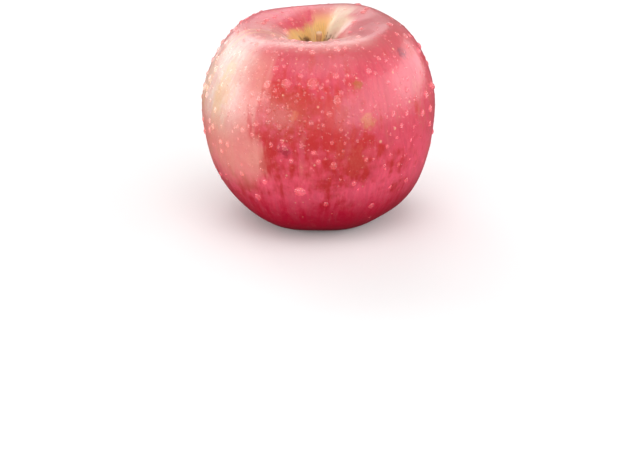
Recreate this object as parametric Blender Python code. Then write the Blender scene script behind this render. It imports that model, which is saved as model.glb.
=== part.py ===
"""Fuji apple, whole and as picked: the fruit, its clipped stem and its dried calyx.

Metres, +Z up. The origin is under the middle of the fruit, on the surface that it rests on.
The low saddle of its shoulder faces -Y.
"""

from math import atan2, cos, exp, pi, radians, sin

import bmesh
import bpy
from mathutils import Matrix, Vector
from mathutils.geometry import interpolate_bezier

MM = 0.001

# Size of the fruit
WIDTH = 86.0 * MM
HEIGHT = 72.0 * MM

# Half outline, turned round the axis before the ribs are raised: its places
WIDEST_HEIGHT = 0.566 * HEIGHT
LIP_RADIUS = 14.7 * MM
BASIN_DEPTH = 8.0 * MM
CREST_RADIUS = 23.8 * MM
CAVITY_DEPTH = 13.0 * MM

# Half outline: how far each curve runs straight on from its two ends, as a share of its span
BASIN_PULL = (0.30, 0.75)
LOWER_PULL = (0.90, 0.21)
UPPER_PULL = (0.51, 0.47)
CAVITY_PULL = (0.52, 0.18)

# Five rounded ribs, one over each seed chamber, at the azimuths where they grew
RIB_AZIMUTHS = (-117.0, -65.0, -7.0, 53.0, 146.0)
RIB_SHARPNESS = 8.0
RIB_SWELL_BASE = 0.046
RIB_SWELL_MIDDLE = 0.012
RIB_SWELL_TOP = 0.030
RIB_FOOT_DROP = 1.6 * MM
RIB_FOOT_LEVEL = 0.85
RIB_SHOULDER_RISE = 1.0 * MM
CAVITY_FOLD = 2.2

# What growth made uneven
LEAN = -0.58 * MM
SHOULDER_TILT = (1.3 * MM, 1.2 * MM)
OVAL = -0.009
CAVITY_OVAL = 0.22

# Plain round sockets that the stem and the calyx stand in
GAP = 0.3 * MM
STEM_SOCKET_RADIUS = 1.8 * MM
STEM_SOCKET_DEPTH = 3.0 * MM
CALYX_SOCKET_RADIUS = 2.4 * MM
CALYX_SOCKET_DEPTH = 1.5 * MM

# Stem, from its root to its clipped end
STEM_TOP = 68.6 * MM
STEM_TOP_SHIFT = (0.6 * MM, 0.4 * MM)
STEM_STRAIGHT = 3.5 * MM
STEM_ROOT_RADIUS = 1.45 * MM
STEM_WAIST_RADIUS = 0.90 * MM
STEM_END_RADIUS = 1.10 * MM
STEM_END_SLANT = radians(14.0)
STEM_WAIST_SPAN = (0.55, 0.70)

# Calyx: a low eye with five dried sepals and the stubs of the stamens
EYE_RADIUS = 2.1 * MM
EYE_RIM_RADIUS = 1.5 * MM
EYE_STANDS_PROUD = 0.9 * MM
EYE_ROUNDING = 0.5 * MM
SEPAL_COUNT = 5
SEPAL_LENGTH = 6.4 * MM
SEPAL_WIDTH = 3.4 * MM
SEPAL_TIP_WIDTH = 0.7 * MM
SEPAL_THICKNESS = 0.8 * MM
SEPAL_TIP_THICKNESS = 0.62 * MM
SEPAL_ROOT_RADIUS = 1.2 * MM
SEPAL_ROOT_DEPTH = 0.4 * MM
SEPAL_FIRST_TURN = radians(23.0)
SEPAL_ROOT_PITCH = radians(-12.0)
SEPAL_SPREAD = radians(24.0)
SEPAL_CURL = radians(62.0)
SEPAL_CURL_UNEVEN = radians(14.0)
STAMEN_COUNT = 7
STAMEN_LENGTH = 2.6 * MM
STAMEN_RADIUS = 0.35 * MM
STAMEN_ROOT_RADIUS = 0.75 * MM
STAMEN_ROOT_DEPTH = 0.2 * MM
STAMEN_SPREAD = 0.5 * MM
STAMEN_SPREAD_UNEVEN = 0.3 * MM

# Fineness of the meshes
FRUIT_SEGMENTS = 72
BASIN_POINTS = 8
LOWER_POINTS = 15
UPPER_POINTS = 12
CAVITY_POINTS = 12
STEM_SEGMENTS = 12
STEM_STEPS = 9
EYE_SEGMENTS = 16
SEPAL_SEGMENTS = 8
SEPAL_STEPS = 7
STAMEN_SEGMENTS = 6
STAMEN_STEPS = 2
MERGE = 0.001 * MM
SNAP = 0.05 * MM
SHARP_ANGLE = radians(50.0)

# Colours, roughness
SKIN_LOOK = ((0.62, 0.08, 0.10), 0.32)
STEM_LOOK = ((0.42, 0.27, 0.14), 0.75)
CALYX_LOOK = ((0.17, 0.11, 0.06), 0.90)


def ease(value, low, high):
    """Rises smoothly from 0 at low to 1 at high."""
    share = min(max((value - low) / (high - low), 0.0), 1.0)
    return share * share * (3.0 - 2.0 * share)


def ribs(azimuth):
    """Height of the ribs round the fruit, about 1 on a rib and about 0 between two."""
    return sum(exp(RIB_SHARPNESS * (cos(azimuth - radians(a)) - 1.0)) for a in RIB_AZIMUTHS)


def mean_rib():
    """Mean of the ribs' height over a full turn."""
    return sum(ribs(radians(degree)) for degree in range(360)) / 360.0


RIB_MEAN = mean_rib()


def curve(start, start_handle, end_handle, end, points):
    """Points of one smooth curve of the outline, each (radius, 0, height)."""
    knots = [Vector((p[0], 0.0, p[1])) for p in (start, start_handle, end_handle, end)]
    return interpolate_bezier(*knots, points)


def outline():
    """Half outline of the fruit, from the axis in the calyx basin to the axis in the stem cavity."""
    radius = WIDTH / 2
    basin_floor = (CALYX_SOCKET_RADIUS, BASIN_DEPTH)
    lip = (LIP_RADIUS, 0.0)
    widest = (radius, WIDEST_HEIGHT)
    crest = (CREST_RADIUS, HEIGHT)
    cavity_floor = (STEM_SOCKET_RADIUS, HEIGHT - CAVITY_DEPTH)

    basin_span = LIP_RADIUS - CALYX_SOCKET_RADIUS
    lower_span = radius - LIP_RADIUS
    upper_span = radius - CREST_RADIUS
    upper_height = HEIGHT - WIDEST_HEIGHT
    cavity_span = CREST_RADIUS - STEM_SOCKET_RADIUS

    basin = curve(
        basin_floor,
        (CALYX_SOCKET_RADIUS + BASIN_PULL[0] * basin_span, BASIN_DEPTH),
        (LIP_RADIUS - BASIN_PULL[1] * basin_span, 0.0),
        lip, BASIN_POINTS)
    lower = curve(
        lip,
        (LIP_RADIUS + LOWER_PULL[0] * lower_span, 0.0),
        (radius, WIDEST_HEIGHT * (1.0 - LOWER_PULL[1])),
        widest, LOWER_POINTS)
    upper = curve(
        widest,
        (radius, WIDEST_HEIGHT + UPPER_PULL[0] * upper_height),
        (CREST_RADIUS + UPPER_PULL[1] * upper_span, HEIGHT),
        crest, UPPER_POINTS)
    cavity = curve(
        crest,
        (CREST_RADIUS - CAVITY_PULL[0] * cavity_span, HEIGHT),
        (STEM_SOCKET_RADIUS + CAVITY_PULL[1] * cavity_span, HEIGHT - CAVITY_DEPTH),
        cavity_floor, CAVITY_POINTS)

    calyx_socket = [
        Vector((0.0, 0.0, BASIN_DEPTH + CALYX_SOCKET_DEPTH)),
        Vector((CALYX_SOCKET_RADIUS, 0.0, BASIN_DEPTH + CALYX_SOCKET_DEPTH))]
    socket_floor = HEIGHT - CAVITY_DEPTH - STEM_SOCKET_DEPTH
    stem_socket = [
        Vector((STEM_SOCKET_RADIUS, 0.0, socket_floor)),
        Vector((0.0, 0.0, socket_floor))]
    return calyx_socket + basin + lower[1:] + upper[1:] + cavity[1:] + stem_socket


def grown(point):
    """Where a point of the plain turned form lies on the fruit as it grew."""
    radius = point.xy.length
    height = point.z
    rib = ribs(atan2(point.y, point.x))

    off_axis = ease(radius, 2.5 * MM, 8.0 * MM)
    near_base = 1.0 - ease(height, 0.0, 0.34 * HEIGHT)
    near_top = ease(height, 0.50 * HEIGHT, 0.98 * HEIGHT)
    in_cavity = near_top * (1.0 - ease(radius, 0.4 * CREST_RADIUS, CREST_RADIUS))

    swell = RIB_SWELL_MIDDLE + RIB_SWELL_BASE * near_base + RIB_SWELL_TOP * near_top
    outward = 1.0 + off_axis * swell * (rib - RIB_MEAN)
    drop = RIB_FOOT_DROP * (RIB_FOOT_LEVEL - rib) * near_base
    rise = RIB_SHOULDER_RISE * (rib - RIB_MEAN) * (near_top + CAVITY_FOLD * in_cavity)

    narrowing = 1.0 - CAVITY_OVAL * in_cavity * off_axis
    x = point.x * outward * (1.0 + OVAL) * narrowing
    y = point.y * outward
    tilt = ease(height, 0.5 * HEIGHT, HEIGHT) * (SHOULDER_TILT[0] * x + SHOULDER_TILT[1] * y)
    lean = LEAN * ease(height, 0.1 * HEIGHT, HEIGHT)
    z = height + (drop + rise) * off_axis + tilt / (WIDTH / 2)
    return Vector((x + lean, y, z))


def cut_feet(bm):
    """Cuts the lowest swellings of the ribs level, so that the fruit rests on small flat spots."""
    bmesh.ops.bisect_plane(
        bm, geom=bm.verts[:] + bm.edges[:] + bm.faces[:], dist=SNAP,
        plane_co=(0.0, 0.0, 0.0), plane_no=(0.0, 0.0, 1.0), clear_inner=True)
    rims = [edge for edge in bm.edges if edge.is_boundary]
    for edge in rims:
        for vert in edge.verts:
            vert.co.z = 0.0
    bmesh.ops.holes_fill(bm, edges=rims, sides=0)


def middle_of_box(bm):
    """Middle of the mesh's box, seen from above."""
    xs = [vert.co.x for vert in bm.verts]
    ys = [vert.co.y for vert in bm.verts]
    return Vector(((min(xs) + max(xs)) / 2, (min(ys) + max(ys)) / 2, 0.0))


def fruit_mesh():
    """The fruit as grown, and how far it was moved to stand over the origin."""
    bm = bmesh.new()
    verts = [bm.verts.new(point) for point in outline()]
    edges = [bm.edges.new(pair) for pair in zip(verts, verts[1:])]
    bmesh.ops.spin(
        bm, geom=verts + edges, cent=(0, 0, 0), axis=(0, 0, 1),
        angle=2 * pi, steps=FRUIT_SEGMENTS, use_merge=True)
    bmesh.ops.remove_doubles(bm, verts=bm.verts, dist=MERGE)
    for vert in bm.verts:
        vert.co = grown(vert.co)
    cut_feet(bm)
    shift = -middle_of_box(bm)
    bmesh.ops.translate(bm, verts=bm.verts, vec=shift)
    bmesh.ops.recalc_face_normals(bm, faces=bm.faces)
    return bm, shift


def sweep(bm, stations, sides):
    """Draws a closed bar, whose section is a unit circle set at each station in turn."""
    first = bmesh.ops.create_circle(bm, cap_ends=False, radius=1.0, segments=sides)["verts"]
    bmesh.ops.transform(bm, matrix=stations[0], verts=first)
    rim = list({edge for vert in first for edge in vert.link_edges})
    for before, after in zip(stations, stations[1:]):
        added = bmesh.ops.extrude_edge_only(bm, edges=rim)["geom"]
        ring = [item for item in added if isinstance(item, bmesh.types.BMVert)]
        rim = [item for item in added if isinstance(item, bmesh.types.BMEdge)]
        bmesh.ops.transform(bm, matrix=after @ before.inverted(), verts=ring)
    ends = [edge for edge in bm.edges if edge.is_boundary]
    bmesh.ops.holes_fill(bm, edges=ends, sides=0)
    bmesh.ops.recalc_face_normals(bm, faces=bm.faces)


def station(place, half_width, half_thickness, pitch=0.0):
    """A section's place, its size across and its pitch about the bar's width."""
    size = Matrix.Diagonal((half_width, half_thickness, 1.0, 1.0))
    return Matrix.Translation(place) @ Matrix.Rotation(pitch, 4, "X") @ size


def stem_mesh(shift):
    """The stem, rooted in its socket, bent a little and clipped on a slant."""
    floor = HEIGHT - CAVITY_DEPTH - STEM_SOCKET_DEPTH
    root = grown(Vector((0.0, 0.0, floor))) + Vector((0.0, 0.0, GAP)) + shift
    length = STEM_TOP - root.z
    stations = []
    for step in range(STEM_STEPS + 1):
        height = length * step / STEM_STEPS
        bend = ease(height, STEM_STRAIGHT, length)
        thick_root = 1.0 - ease(height, STEM_STRAIGHT, STEM_WAIST_SPAN[0] * length)
        flare = ease(height, STEM_WAIST_SPAN[1] * length, length)
        radius = STEM_WAIST_RADIUS
        radius += (STEM_ROOT_RADIUS - STEM_WAIST_RADIUS) * thick_root
        radius += (STEM_END_RADIUS - STEM_WAIST_RADIUS) * flare
        offset = Vector((STEM_TOP_SHIFT[0] * bend, STEM_TOP_SHIFT[1] * bend, height))
        slant = STEM_END_SLANT if step == STEM_STEPS else 0.0
        stations.append(station(root + offset, radius, radius, slant))
    bm = bmesh.new()
    sweep(bm, stations, STEM_SEGMENTS)
    return bm


def sepal_stations(turn, curl):
    """Stations of one sepal, which hangs from the eye, spreads and curls back at its tip."""
    place = Vector((0.0, SEPAL_ROOT_RADIUS, BASIN_DEPTH + SEPAL_ROOT_DEPTH))
    round_axis = Matrix.Rotation(turn, 4, "Z")
    stations = []
    for step in range(SEPAL_STEPS + 1):
        share = step / SEPAL_STEPS
        pitch = SEPAL_ROOT_PITCH + curl * share ** 1.6
        width = SEPAL_WIDTH + (SEPAL_TIP_WIDTH - SEPAL_WIDTH) * share ** 1.3
        thickness = SEPAL_THICKNESS + (SEPAL_TIP_THICKNESS - SEPAL_THICKNESS) * share
        section = station(place, width / 2, thickness / 2, pi + pitch)
        stations.append(round_axis @ section)
        heading = pitch + SEPAL_SPREAD
        place = place + Vector((0.0, sin(heading), -cos(heading))) * (SEPAL_LENGTH / SEPAL_STEPS)
    return stations


def stamen_stations(turn, spread):
    """Stations of one dried stamen's stub, from its root in the eye to its end."""
    round_axis = Matrix.Rotation(turn, 4, "Z")
    stations = []
    for step in range(STAMEN_STEPS + 1):
        share = step / STAMEN_STEPS
        out = STAMEN_ROOT_RADIUS + spread * share
        height = BASIN_DEPTH + STAMEN_ROOT_DEPTH - STAMEN_LENGTH * share
        section = station(Vector((0.0, out, height)), STAMEN_RADIUS, STAMEN_RADIUS)
        stations.append(round_axis @ section)
    return stations


def eye_stations():
    """Stations of the round eye that carries the sepals, from its root down to its rim."""
    top = BASIN_DEPTH + CALYX_SOCKET_DEPTH - GAP
    bottom = BASIN_DEPTH - EYE_STANDS_PROUD
    return [
        station(Vector((0.0, 0.0, top)), EYE_RADIUS, EYE_RADIUS),
        station(Vector((0.0, 0.0, bottom + EYE_ROUNDING)), EYE_RADIUS, EYE_RADIUS),
        station(Vector((0.0, 0.0, bottom)), EYE_RIM_RADIUS, EYE_RIM_RADIUS)]


def calyx_bars():
    """The stations and the sides of the eye, of each sepal and of each stamen's stub."""
    bars = [(eye_stations(), EYE_SEGMENTS)]
    for index in range(SEPAL_COUNT):
        turn = SEPAL_FIRST_TURN + 2 * pi * index / SEPAL_COUNT
        curl = SEPAL_CURL + SEPAL_CURL_UNEVEN * sin(2.3 * index)
        bars.append((sepal_stations(turn, curl), SEPAL_SEGMENTS))
    for index in range(STAMEN_COUNT):
        turn = 2 * pi * index / STAMEN_COUNT
        spread = STAMEN_SPREAD + STAMEN_SPREAD_UNEVEN * sin(1.7 * index)
        bars.append((stamen_stations(turn, spread), STAMEN_SEGMENTS))
    return bars


def material(name, look):
    """A plain material of one colour and roughness."""
    colour, roughness = look
    made = bpy.data.materials.new(name)
    made.use_nodes = True
    shader = made.node_tree.nodes["Principled BSDF"]
    shader.inputs["Base Color"].default_value = (*colour, 1.0)
    shader.inputs["Roughness"].default_value = roughness
    shader.inputs["Metallic"].default_value = 0.0
    made.diffuse_color = (*colour, 1.0)
    return made


def add_object(name, bm, look):
    """Makes an object of a mesh, smooth but for its sharp corners."""
    mesh = bpy.data.meshes.new(name)
    bm.to_mesh(mesh)
    bm.free()
    mesh.materials.append(look)
    mesh.shade_smooth()
    mesh.set_sharp_from_angle(angle=SHARP_ANGLE)
    made = bpy.data.objects.new(name, mesh)
    bpy.context.scene.collection.objects.link(made)
    return made


def fuse(carrier, repeats):
    """Joins the repeats to their carrier as one body, and removes them."""
    group = bpy.data.collections.new(carrier.name + "_repeats")
    bpy.context.scene.collection.children.link(group)
    for repeat in repeats:
        bpy.context.scene.collection.objects.unlink(repeat)
        group.objects.link(repeat)
    union = carrier.modifiers.new("union", "BOOLEAN")
    union.operation = "UNION"
    union.solver = "EXACT"
    union.operand_type = "COLLECTION"
    union.collection = group
    depsgraph = bpy.context.evaluated_depsgraph_get()
    mesh = bpy.data.meshes.new_from_object(carrier.evaluated_get(depsgraph))
    carrier.modifiers.clear()
    carrier.data = mesh
    for repeat in repeats:
        bpy.data.objects.remove(repeat)
    bpy.data.collections.remove(group)
    mesh.shade_smooth()
    mesh.set_sharp_from_angle(angle=SHARP_ANGLE)


def make_calyx(shift, look):
    """The dried calyx: its eye, with the sepals and the stamens' stubs fused to it."""
    pieces = []
    for stations, sides in calyx_bars():
        bm = bmesh.new()
        sweep(bm, stations, sides)
        bmesh.ops.translate(bm, verts=bm.verts, vec=shift)
        pieces.append(add_object("calyx_piece", bm, look))
    calyx = pieces[0]
    calyx.name = "calyx"
    fuse(calyx, pieces[1:])


def clear_scene():
    """Removes every object of the scene."""
    for old in list(bpy.data.objects):
        bpy.data.objects.remove(old)


def main():
    """Makes the fruit, its stem and its calyx."""
    clear_scene()
    fruit, shift = fruit_mesh()
    add_object("apple_body", fruit, material("skin", SKIN_LOOK))
    add_object("stem", stem_mesh(shift), material("stem_wood", STEM_LOOK))
    make_calyx(shift, material("dried_calyx", CALYX_LOOK))


main()
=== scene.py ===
"""Looks of one fuji apple: its skin, its clipped stem, its dried calyx and the water on it.

Everything is in metres, +Z up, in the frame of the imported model. The file is laid out as a
Blender add-on and is run as a script.
"""

import random
from math import atan, atan2, cos, exp, pi, radians, sin

import bmesh
import bpy
from bpy.props import FloatProperty, FloatVectorProperty, IntProperty, PointerProperty
from mathutils import Color, Matrix, Vector, noise
from mathutils.bvhtree import BVHTree
from mathutils.geometry import interpolate_bezier


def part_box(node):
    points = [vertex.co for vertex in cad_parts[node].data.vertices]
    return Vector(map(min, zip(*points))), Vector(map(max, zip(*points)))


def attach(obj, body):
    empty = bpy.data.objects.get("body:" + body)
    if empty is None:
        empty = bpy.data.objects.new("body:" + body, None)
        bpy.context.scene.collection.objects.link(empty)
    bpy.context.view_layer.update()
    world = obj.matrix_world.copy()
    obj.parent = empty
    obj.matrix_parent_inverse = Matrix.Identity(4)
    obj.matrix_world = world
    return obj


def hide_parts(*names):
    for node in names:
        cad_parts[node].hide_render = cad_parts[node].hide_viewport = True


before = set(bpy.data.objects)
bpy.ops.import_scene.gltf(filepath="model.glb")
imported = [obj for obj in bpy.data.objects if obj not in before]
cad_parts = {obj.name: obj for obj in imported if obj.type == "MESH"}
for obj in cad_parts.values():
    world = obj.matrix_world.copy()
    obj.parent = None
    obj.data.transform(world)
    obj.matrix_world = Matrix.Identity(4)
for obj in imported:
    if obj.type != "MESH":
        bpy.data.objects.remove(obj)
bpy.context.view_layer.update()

bl_info = {
    "name": "Fuji apple looks",
    "version": (1, 0, 0),
    "blender": (4, 5, 0),
    "location": "View3D > Sidebar > Fruit",
    "description": "Makes the skin, stem, calyx and water drops of one fuji apple, and its stage",
    "category": "Object",
}

MM = 0.001
FRUIT_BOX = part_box("apple_body")
STEM_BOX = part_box("stem")
CALYX_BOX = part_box("calyx")

# Half outline of the fruit before its ribs are raised: its places
WIDTH = 86.0 * MM
HEIGHT = 72.0 * MM
WIDEST_HEIGHT = 0.566 * HEIGHT
LIP_RADIUS = 14.7 * MM
BASIN_DEPTH = 8.0 * MM
CREST_RADIUS = 23.8 * MM
CAVITY_DEPTH = 13.0 * MM

# Half outline: how far each curve runs straight on from its two ends, as a share of its span
BASIN_PULL = (0.30, 0.75)
LOWER_PULL = (0.90, 0.21)
UPPER_PULL = (0.51, 0.47)
CAVITY_PULL = (0.52, 0.18)

# Ribs over the seed chambers, and what growth made uneven
RIB_AZIMUTHS = (-117.0, -65.0, -7.0, 53.0, 146.0)
RIB_SHARPNESS = 8.0
RIB_SWELL_BASE = 0.046
RIB_SWELL_MIDDLE = 0.012
RIB_SWELL_TOP = 0.030
RIB_FOOT_DROP = 1.6 * MM
RIB_FOOT_LEVEL = 0.85
RIB_SHOULDER_RISE = 1.0 * MM
CAVITY_FOLD = 2.2
LEAN = -0.58 * MM
SHOULDER_TILT = (1.3 * MM, 1.2 * MM)
OVAL = -0.009
CAVITY_OVAL = 0.22

# Distances from the axis and heights over which that growth comes in
AXIS_SPAN = (2.5 * MM, 8.0 * MM)
BASE_SPAN = (0.0, 0.34 * HEIGHT)
TOP_SPAN = (0.50 * HEIGHT, 0.98 * HEIGHT)
CAVITY_SPAN = (0.4 * CREST_RADIUS, CREST_RADIUS)
TILT_SPAN = (0.5 * HEIGHT, HEIGHT)
LEAN_SPAN = (0.1 * HEIGHT, HEIGHT)

# Folds of the cavity, puckers of the basin and soft dents, which only the skin has
CREASE_AXIS_SPAN = (2.5 * MM, 6.0 * MM)
FOLD_COUNT = 9.0
FOLD_HEIGHT = 0.30 * MM
FOLD_HEIGHTS = (0.6 * HEIGHT, 0.8 * HEIGHT)
FOLD_RADII = (8.0 * MM, 19.0 * MM)
PUCKER_COUNT = 10.0
PUCKER_HEIGHT = 0.42 * MM
PUCKER_HEIGHTS = (0.0, 0.2 * HEIGHT)
PUCKER_RADII = (8.0 * MM, 15.0 * MM)
CREASE_WANDER = 2.0
CREASE_WANDER_PER_METRE = 40.0
DENTS_PER_METRE = 55.0
FINE_DENTS_PER_METRE = 160.0
FINE_DENT_SHARE = 0.3

# Sockets of the stem and the calyx
GAP = 0.3 * MM
STEM_SOCKET_RADIUS = 1.8 * MM
STEM_SOCKET_DEPTH = 3.0 * MM
CALYX_SOCKET_RADIUS = 2.4 * MM
CALYX_SOCKET_DEPTH = 1.5 * MM

# Stem, from its root to its clipped end
STEM_TOP = 68.6 * MM
STEM_TOP_SHIFT = (0.6 * MM, 0.4 * MM)
STEM_STRAIGHT = 3.5 * MM
STEM_ROOT_RADIUS = 1.45 * MM
STEM_WAIST_RADIUS = 0.90 * MM
STEM_END_RADIUS = 1.10 * MM
STEM_END_SLANT = radians(14.0)
STEM_WAIST_SPAN = (0.55, 0.70)
STEM_SLANT_STEPS = 6
STEM_WORN_HEIGHT = 0.08 * MM
STEM_WORN_SHARE = 0.9
STEM_END_INSETS = (0.35, 0.35)
STEM_STEPS = 48
STEM_SIDES = 32

# Calyx: a low eye with five dried sepals and the stamens
EYE_RADIUS = 2.1 * MM
EYE_RIM_RADIUS = 1.5 * MM
EYE_STANDS_PROUD = 0.9 * MM
EYE_ROUNDING = 0.5 * MM
EYE_STEPS = 6
EYE_SIDES = 40
SEPAL_COUNT = 5
SEPAL_LENGTH = 6.4 * MM
SEPAL_WIDTH = 3.4 * MM
SEPAL_TIP_WIDTH = 0.5 * MM
SEPAL_THICKNESS = 0.7 * MM
SEPAL_TIP_THICKNESS = 0.4 * MM
SEPAL_ROOT_RADIUS = 1.2 * MM
SEPAL_ROOT_DEPTH = 0.4 * MM
SEPAL_FIRST_TURN = radians(23.0)
SEPAL_ROOT_PITCH = radians(-12.0)
SEPAL_SPREAD = radians(24.0)
SEPAL_CURL = radians(62.0)
SEPAL_CURL_UNEVEN = radians(14.0)
SEPAL_CURL_POWER = 1.6
SEPAL_TAPER_POWER = 1.3
SEPAL_STEPS = 30
SEPAL_SIDES = 24
STAMEN_COUNT = 7
STAMEN_LENGTH = 2.6 * MM
STAMEN_RADIUS = 0.35 * MM
STAMEN_ROOT_RADIUS = 0.75 * MM
STAMEN_ROOT_DEPTH = 0.2 * MM
STAMEN_SPREAD = 0.5 * MM
STAMEN_SPREAD_UNEVEN = 0.3 * MM
STAMEN_STEPS = 10
STAMEN_SIDES = 12

# Photograph: its size, and the pixel and scale at which the middle of the fruit shows
PHOTO_SIZE = (625.0, 469.0)
FRUIT_PIXEL = (318.7, 118.6)
FRUIT_PIXELS_WIDE = 234.0
CAMERA_DISTANCE = 0.64
CAMERA_ELEVATION = radians(19.3)
SENSOR_WIDTH = 36.0

# Points nearer to each other than this are joined
MERGE = 0.001 * MM

# Bark, crumpled sepals and hairs: how closely their noise changes, the share of its finer part, and
# the draw, sizes and lean of the hairs, which keep off the middle
RIDGES_PER_METRE = 1500.0
RIDGE_LENGTHENING = 0.22
RIDGE_FINER = 2.3
CRUMPLES_PER_METRE = (420.0, 1100.0)
FINE_SHARE = 0.6
HAIR_SEED = 5
HAIR_LENGTH = (0.5 * MM, 1.1 * MM)
HAIR_RADII = (0.045 * MM, 0.012 * MM)
HAIR_SIDES = 5
HAIR_LEAN = 0.35
HAIRLESS_RADIUS = 2.2 * MM

# Scattered drops: the draw and how many tries it has, how rare wide drops are, how much room a drop
# takes, its length over its width, and how much longer a wide one runs on a steep side
DROP_SEED = 21
DROP_TRIES = 80000
DROP_RARITY = 3.8
DROP_ROOM = 0.62
DROP_LENGTHS = (0.95, 1.12)
DROP_RUN = 0.25

# A drop wider than each of these widths has finer faces. Its height is a share of its width, and
# less for those under the first width. It is sunk into the skin by a share of its height
DROP_STEPS = (1.6 * MM, 3.0 * MM)
DROP_HEIGHT = 0.34
SMALL_DROP_HEIGHT = 0.22
DROP_SINK = 0.30

# Where drops sit: the chance anywhere, and what the upper part, its left side and the crowd add
CHANCE_ANYWHERE = 0.18
CHANCE_UPPER = 0.32
CHANCE_UPPER_LEFT = 0.25
CHANCE_CROWD = 0.50
CROWD_PIXEL = (292, 88)
CROWD_REACH = 17.0 * MM

# Spans over which drops go from few to many: out of the cavity, off faces that look down, towards
# the left and towards the top
DRY_CAVITY_RADII = (9.0 * MM, 15.0 * MM)
DRY_CAVITY_LEVEL = 0.7
UPRIGHT_SPAN = (-0.75, -0.05)
LEFT_SPAN = (-0.35, 0.35)
UPPER_SPAN = (0.25, 0.95)

# Stage: name, place, width and height, and power in watts of each soft box
SOFT_BOXES = (
    ("left_box", (-0.78, -0.38, 0.14), (1.6, 0.52), 8.7),
    ("back_left_box", (-0.66, 0.74, 0.42), (0.8, 0.60), 2.6),
    ("back_top_box", (-0.18, 0.80, 0.70), (0.9, 0.6), 3.3),
    ("back_right_box", (0.88, 0.46, 0.24), (0.8, 0.46), 3.2),
    ("top_box", (0.05, -0.35, 0.95), (0.8, 0.6), 2.2),
    ("right_box", (0.81, -0.50, 0.24), (1.8, 0.80), 10.0),
    ("front_box", (-0.10, -1.15, 0.25), (1.8, 0.8), 2.7),
)
SOFT_BOX_TARGET = Vector((0.0, 0.0, 0.04))
AIR_STRENGTH = 0.37
FLOOR_RADIUS = 6.0
FLOOR_SIDES = 96


def tone(red, green, blue):
    """A colour given by its screen values from 0 to 255, in the linear values that Blender takes."""
    def linear(value):
        share = value / 255.0
        return share / 12.92 if share <= 0.04045 else ((share + 0.055) / 1.055) ** 2.4
    return (linear(red), linear(green), linear(blue))


def colour_property(name, description, default):
    """A colour that a user may change."""
    return FloatVectorProperty(
        name=name, description=description, default=default, subtype="COLOR", size=3, min=0.0, max=1.0)


class FruitSizes(bpy.types.PropertyGroup):
    """Sizes and amounts that a user may change."""

    rings: IntProperty(
        name="Skin rings", description="Faces along each curve of the skin's outline", default=52, min=8)
    segments: IntProperty(
        name="Skin segments", description="Faces round the skin", default=288, min=24)
    unevenness: FloatProperty(
        name="Unevenness", description="Height of the soft dents of the skin", default=0.22 * MM,
        unit="LENGTH", precision=5)
    drops: IntProperty(
        name="Water drops", description="How many drops are scattered on the skin", default=1680, min=0)
    smallest_drop: FloatProperty(
        name="Smallest drop", description="Width of the smallest drops", default=0.45 * MM,
        unit="LENGTH", precision=5)
    largest_drop: FloatProperty(
        name="Largest drop", description="Width of the largest scattered drops", default=2.6 * MM,
        unit="LENGTH", precision=5)
    stem_ridges: FloatProperty(
        name="Stem ridges", description="Height of the bark's ridges", default=0.10 * MM,
        unit="LENGTH", precision=5)
    crumple: FloatProperty(
        name="Crumple", description="How far the dry sepals are crumpled", default=0.16 * MM,
        unit="LENGTH", precision=5)
    hairs: IntProperty(
        name="Hairs", description="How many short hairs grow on the sepals", default=140, min=0)


class FruitTones(bpy.types.PropertyGroup):
    """Colours that a user may change."""

    rose: colour_property("Rose", "The blush on the shoulder and the sides", tone(222, 78, 98))
    dusky: colour_property("Dusky rose", "The blush on top of the shoulders", tone(198, 90, 93))
    scarlet: colour_property("Scarlet", "The warmer patches of the blush", tone(206, 52, 54))
    # Partly the skin's own colour, partly painted shade and a painted red bounce at the base
    crimson_and_shade: colour_property("Crimson", "The blush towards the base", tone(210, 2, 52))
    ground: colour_property("Ground", "The skin under the blush", tone(238, 190, 128))
    # Partly pale skin, partly a painted reflection of the soft light on the left
    peach: colour_property("Peach", "The pale band beside the front", tone(230, 144, 134))
    # Partly yellow ground, partly a painted reflection along the cavity's right wall
    cream: colour_property("Cream", "The pale streak over the shoulder", tone(232, 208, 178))
    ochre: colour_property("Ochre", "The wall of the stem cavity", tone(242, 188, 110))
    # Partly russet, partly painted shade of the deep cavity
    russet: colour_property("Russet", "The rough floor of the stem cavity", tone(98, 58, 34))
    lenticel: colour_property("Lenticels", "The pale dots of the skin", tone(246, 178, 146))
    bark: colour_property("Bark", "The stem", tone(212, 166, 122))
    cut_wood: colour_property("Cut wood", "The clipped end of the stem", tone(226, 182, 142))
    sepal: colour_property("Sepals", "The dried sepals", tone(98, 74, 50))
    sepal_tip: colour_property("Sepal tips", "The pale hairs of the sepals", tone(168, 146, 112))
    water: colour_property("Water", "The tint of the drops", tone(255, 244, 242))
    floor: colour_property("Floor", "The floor and the backdrop", tone(250, 250, 250))


# Shades that stand beside the colours above
# Painted light on the lower flanks
LIT_LOWER_PINK = tone(254, 94, 120)
DARK_STREAK = tone(176, 30, 52)
PALE_STREAK = tone(244, 150, 140)
# Painted highlight of the near rim of the cavity
LEDGE_HIGHLIGHT_PINK = tone(238, 166, 160)
# Painted light on the foot of the pale band
LIT_LOWER_PEACH = tone(252, 160, 148)
# Painted highlight on the upper left
HIGHLIGHT_PEACH = tone(246, 226, 214)
WEDGE_PEACH = tone(226, 138, 122)
WEDGE_GOLD = tone(248, 194, 128)
DULL_OCHRE = tone(224, 176, 108)
WARM_CREAM = tone(232, 176, 158)
PALE_RUSSET = tone(158, 112, 64)
BASIN_GREEN = tone(200, 164, 88)
# Painted sheen of fine water beads
BEAD_SHEEN_PINK = tone(250, 156, 144)
SPECKLE_PINK = tone(250, 190, 170)
YELLOW_BARK = tone(196, 158, 108)
DARK_BARK = tone(92, 62, 38)
GREEN_BARK = tone(132, 120, 60)
FLOOR_BOUNCE = tone(78, 78, 78)


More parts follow.
